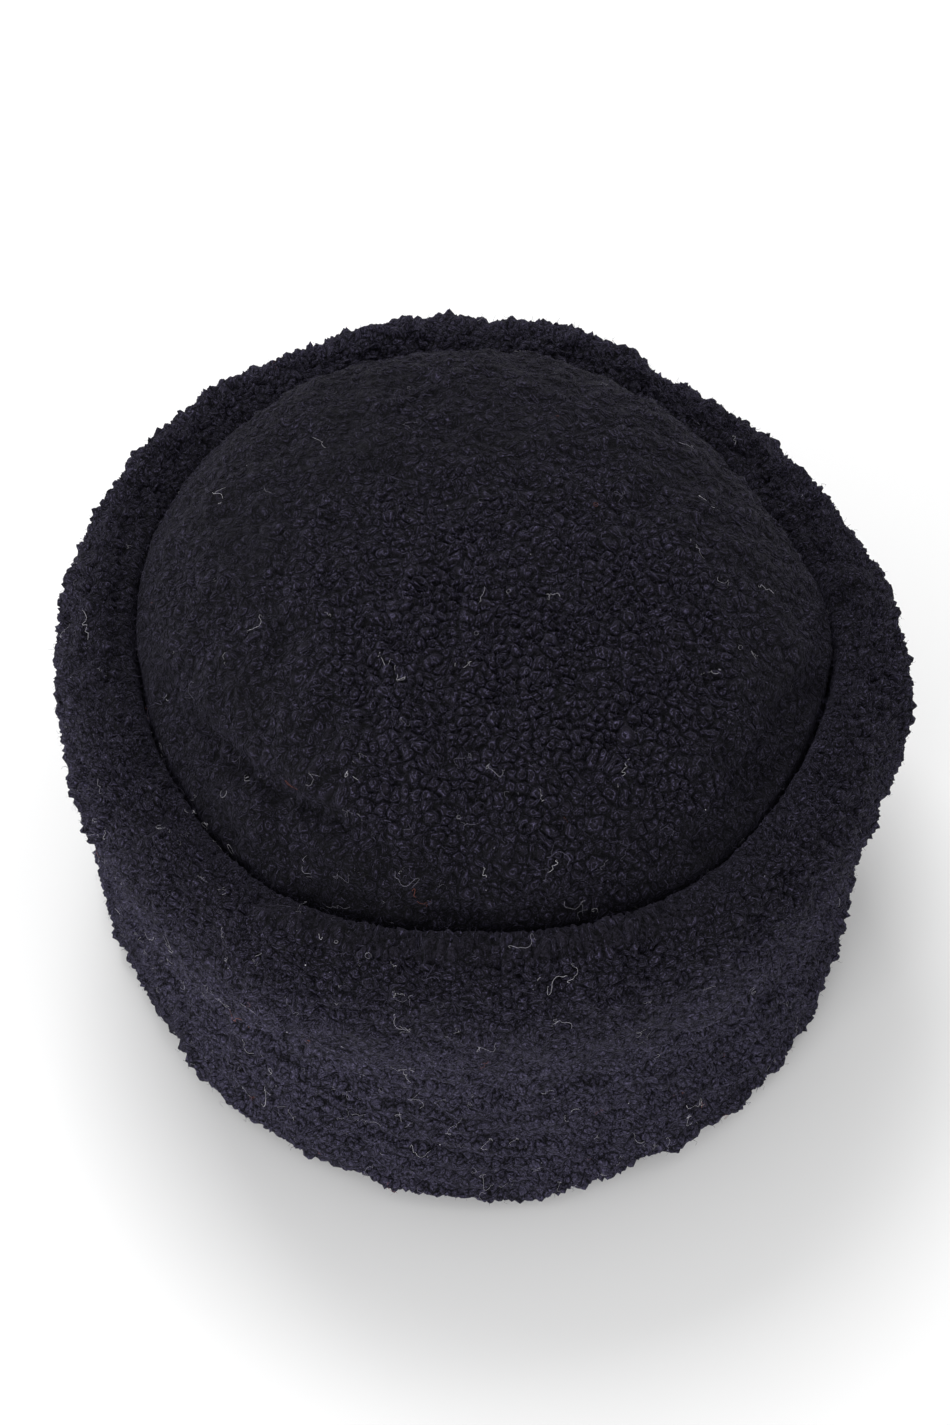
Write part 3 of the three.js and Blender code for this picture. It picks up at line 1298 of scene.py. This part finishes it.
class HAT_OT_crown(bpy.types.Operator):
    """The crown: a soft dome of sheepskin, wool outside"""

    bl_idname = "hat.crown"
    bl_label = "Crown"

    def execute(self, context):
        crown = base_from("crown", "crown_fleece", CROWN_GRAIN)
        refine(crown, crown_wool(crown))
        creased = press_creases(crown)
        keep(crown, "wool", crown_wool(crown))
        keep_groove(crown, "cuff", creased)
        raise_wool(crown, "crown curls", crown_curls, context.scene.hat_sizes.tuft_height)
        dress_fleece(crown, sheared_wool("sheared wool, crown"), suede("suede, crown"))
        finish_piece(crown, "crown")
        add_loose_wool(crown, ("crown_wisps", "crown_stray_hairs"), 11)
        return {"FINISHED"}


class HAT_OT_cuff(bpy.types.Operator):
    """The cuff: a tall band of sheepskin, folded over at the top into the rim"""

    bl_idname = "hat.cuff"
    bl_label = "Cuff"

    def execute(self, context):
        wall = base_from("cuff", "cuff_wall_fleece", CUFF_GRAIN)
        refine(wall, cuff_wool(wall))
        keep(wall, "wool", cuff_wool(wall))
        places = places_of(wall)
        on_wall = 1 - smoothstep(RIM_FROM - 12 * MM, RIM_FROM + 38 * MM, places[:, 2])
        behind = smoothstep(0.5 * CUFF_RADIUS, 0.95 * CUFF_RADIUS, places[:, 1])
        keep(wall, "on_wall", on_wall)
        # Painted light: lighter wool on the wall, for the light that grazes it, and at the back of the
        # rim, for light from behind.
        keep(wall, "painted_light", np.maximum(on_wall, 0.5 * behind))
        keep_groove(wall, "crown")
        raise_wool(wall, "cuff curls", cuff_curls, context.scene.hat_sizes.tuft_height)
        dress_fleece(wall, sheared_wool("sheared wool, wall"), suede("suede, cuff"))
        rim = split_at(wall, "cuff_rim_fleece", RIM_FROM)
        rim.data.materials[0] = sheared_wool("sheared wool, rim", long_locks=True)
        for fleece in (wall, rim):
            finish_piece(fleece, "cuff")
        add_loose_wool(wall, ("cuff_wall_wisps", "cuff_wall_stray_hairs"), 31)
        add_loose_wool(rim, ("cuff_rim_wisps", "cuff_rim_stray_hairs"), 51)
        return {"FINISHED"}


class HAT_OT_stage(bpy.types.Operator):
    """A pale floor, soft light and the camera"""

    bl_idname = "hat.stage"
    bl_label = "Stage"

    def execute(self, context):
        make_floor()
        make_lights()
        make_camera()
        return {"FINISHED"}


def make_floor():
    """A wide pale floor that the hat stands on."""
    deselect_all()
    bpy.ops.mesh.primitive_plane_add(size=FLOOR_WIDTH, location=(0, 0, 0))
    floor = bpy.context.object
    floor.name = "floor"
    material = bpy.data.materials.new("matt white paper")
    material.use_nodes = True
    shader = material.node_tree.nodes["Principled BSDF"]
    shader.inputs["Base Color"].default_value = linear("#f4f4f4")
    shader.inputs["Roughness"].default_value = 0.9
    floor.data.materials.append(material)


def make_lights():
    """White light from all round, a soft lamp low in front on the left, and one high behind."""
    world = bpy.data.worlds.new("studio")
    bpy.context.scene.world = world
    world.use_nodes = True
    sky = world.node_tree.nodes["Background"]
    sky.inputs["Color"].default_value = linear("#ffffff")
    sky.inputs["Strength"].default_value = 0.8
    for name, place, size, power in LAMPS:
        bpy.ops.object.light_add(type="AREA", location=place)
        lamp = bpy.context.object
        lamp.name = name
        lamp.data.size = size
        lamp.data.energy = power
        aim = Vector((0, 0, HAT_MIDDLE)) - Vector(place)
        lamp.rotation_euler = aim.to_track_quat("-Z", "Y").to_euler()


def make_camera():
    """The camera looks down on the hat's front, as the photograph does."""
    hat_middle = Vector((0, 0, HAT_MIDDLE))
    down_the_view = Vector((0, math.cos(CAMERA_ELEVATION), -math.sin(CAMERA_ELEVATION)))
    picture_up = Vector((0, math.sin(CAMERA_ELEVATION), math.cos(CAMERA_ELEVATION)))
    picture_right = Vector((1, 0, 0))
    place = hat_middle - down_the_view * CAMERA_DISTANCE
    # The picture's own middle is a little above and to the left of the hat's.
    up = (HAT_MIDDLE_PX[1] - PICTURE_PX[1] / 2) / PX_PER_M
    right = (PICTURE_PX[0] / 2 - HAT_MIDDLE_PX[0]) / PX_PER_M
    aim = hat_middle + picture_up * up + picture_right * right
    bpy.ops.object.camera_add(location=place)
    camera = bpy.context.object
    camera.data.sensor_width = 36
    camera.data.lens = CAMERA_DISTANCE * PX_PER_M / max(PICTURE_PX) * camera.data.sensor_width
    camera.rotation_euler = (aim - place).to_track_quat("-Z", "Y").to_euler()
    bpy.context.scene.camera = camera
    bpy.context.scene.view_settings.view_transform = "Standard"


class HAT_PT_panel(bpy.types.Panel):
    """Lists the hat's pieces"""

    bl_label = "Sheepskin hat"
    bl_space_type = "VIEW_3D"
    bl_region_type = "UI"
    bl_category = "Hat"

    def draw(self, context):
        for operator in OPERATORS:
            self.layout.operator(operator.bl_idname)
        for group in (context.scene.hat_sizes, context.scene.hat_colours):
            for name in group.__annotations__:
                self.layout.prop(group, name)


OPERATORS = (HAT_OT_crown, HAT_OT_cuff, HAT_OT_stage)
CLASSES = (HatSizes, HatColours, *OPERATORS, HAT_PT_panel)


def register():
    """Makes the classes known, and gives the scene its properties."""
    for cls in CLASSES:
        bpy.utils.register_class(cls)
    bpy.types.Scene.hat_sizes = bpy.props.PointerProperty(type=HatSizes)
    bpy.types.Scene.hat_colours = bpy.props.PointerProperty(type=HatColours)


def unregister():
    """Takes them away again."""
    del bpy.types.Scene.hat_colours
    del bpy.types.Scene.hat_sizes
    for cls in reversed(CLASSES):
        bpy.utils.unregister_class(cls)


def main():
    """Makes the hat and its stage."""
    register()
    bpy.ops.hat.crown()
    bpy.ops.hat.cuff()
    bpy.ops.hat.stage()


if __name__ == "__main__":
    main()
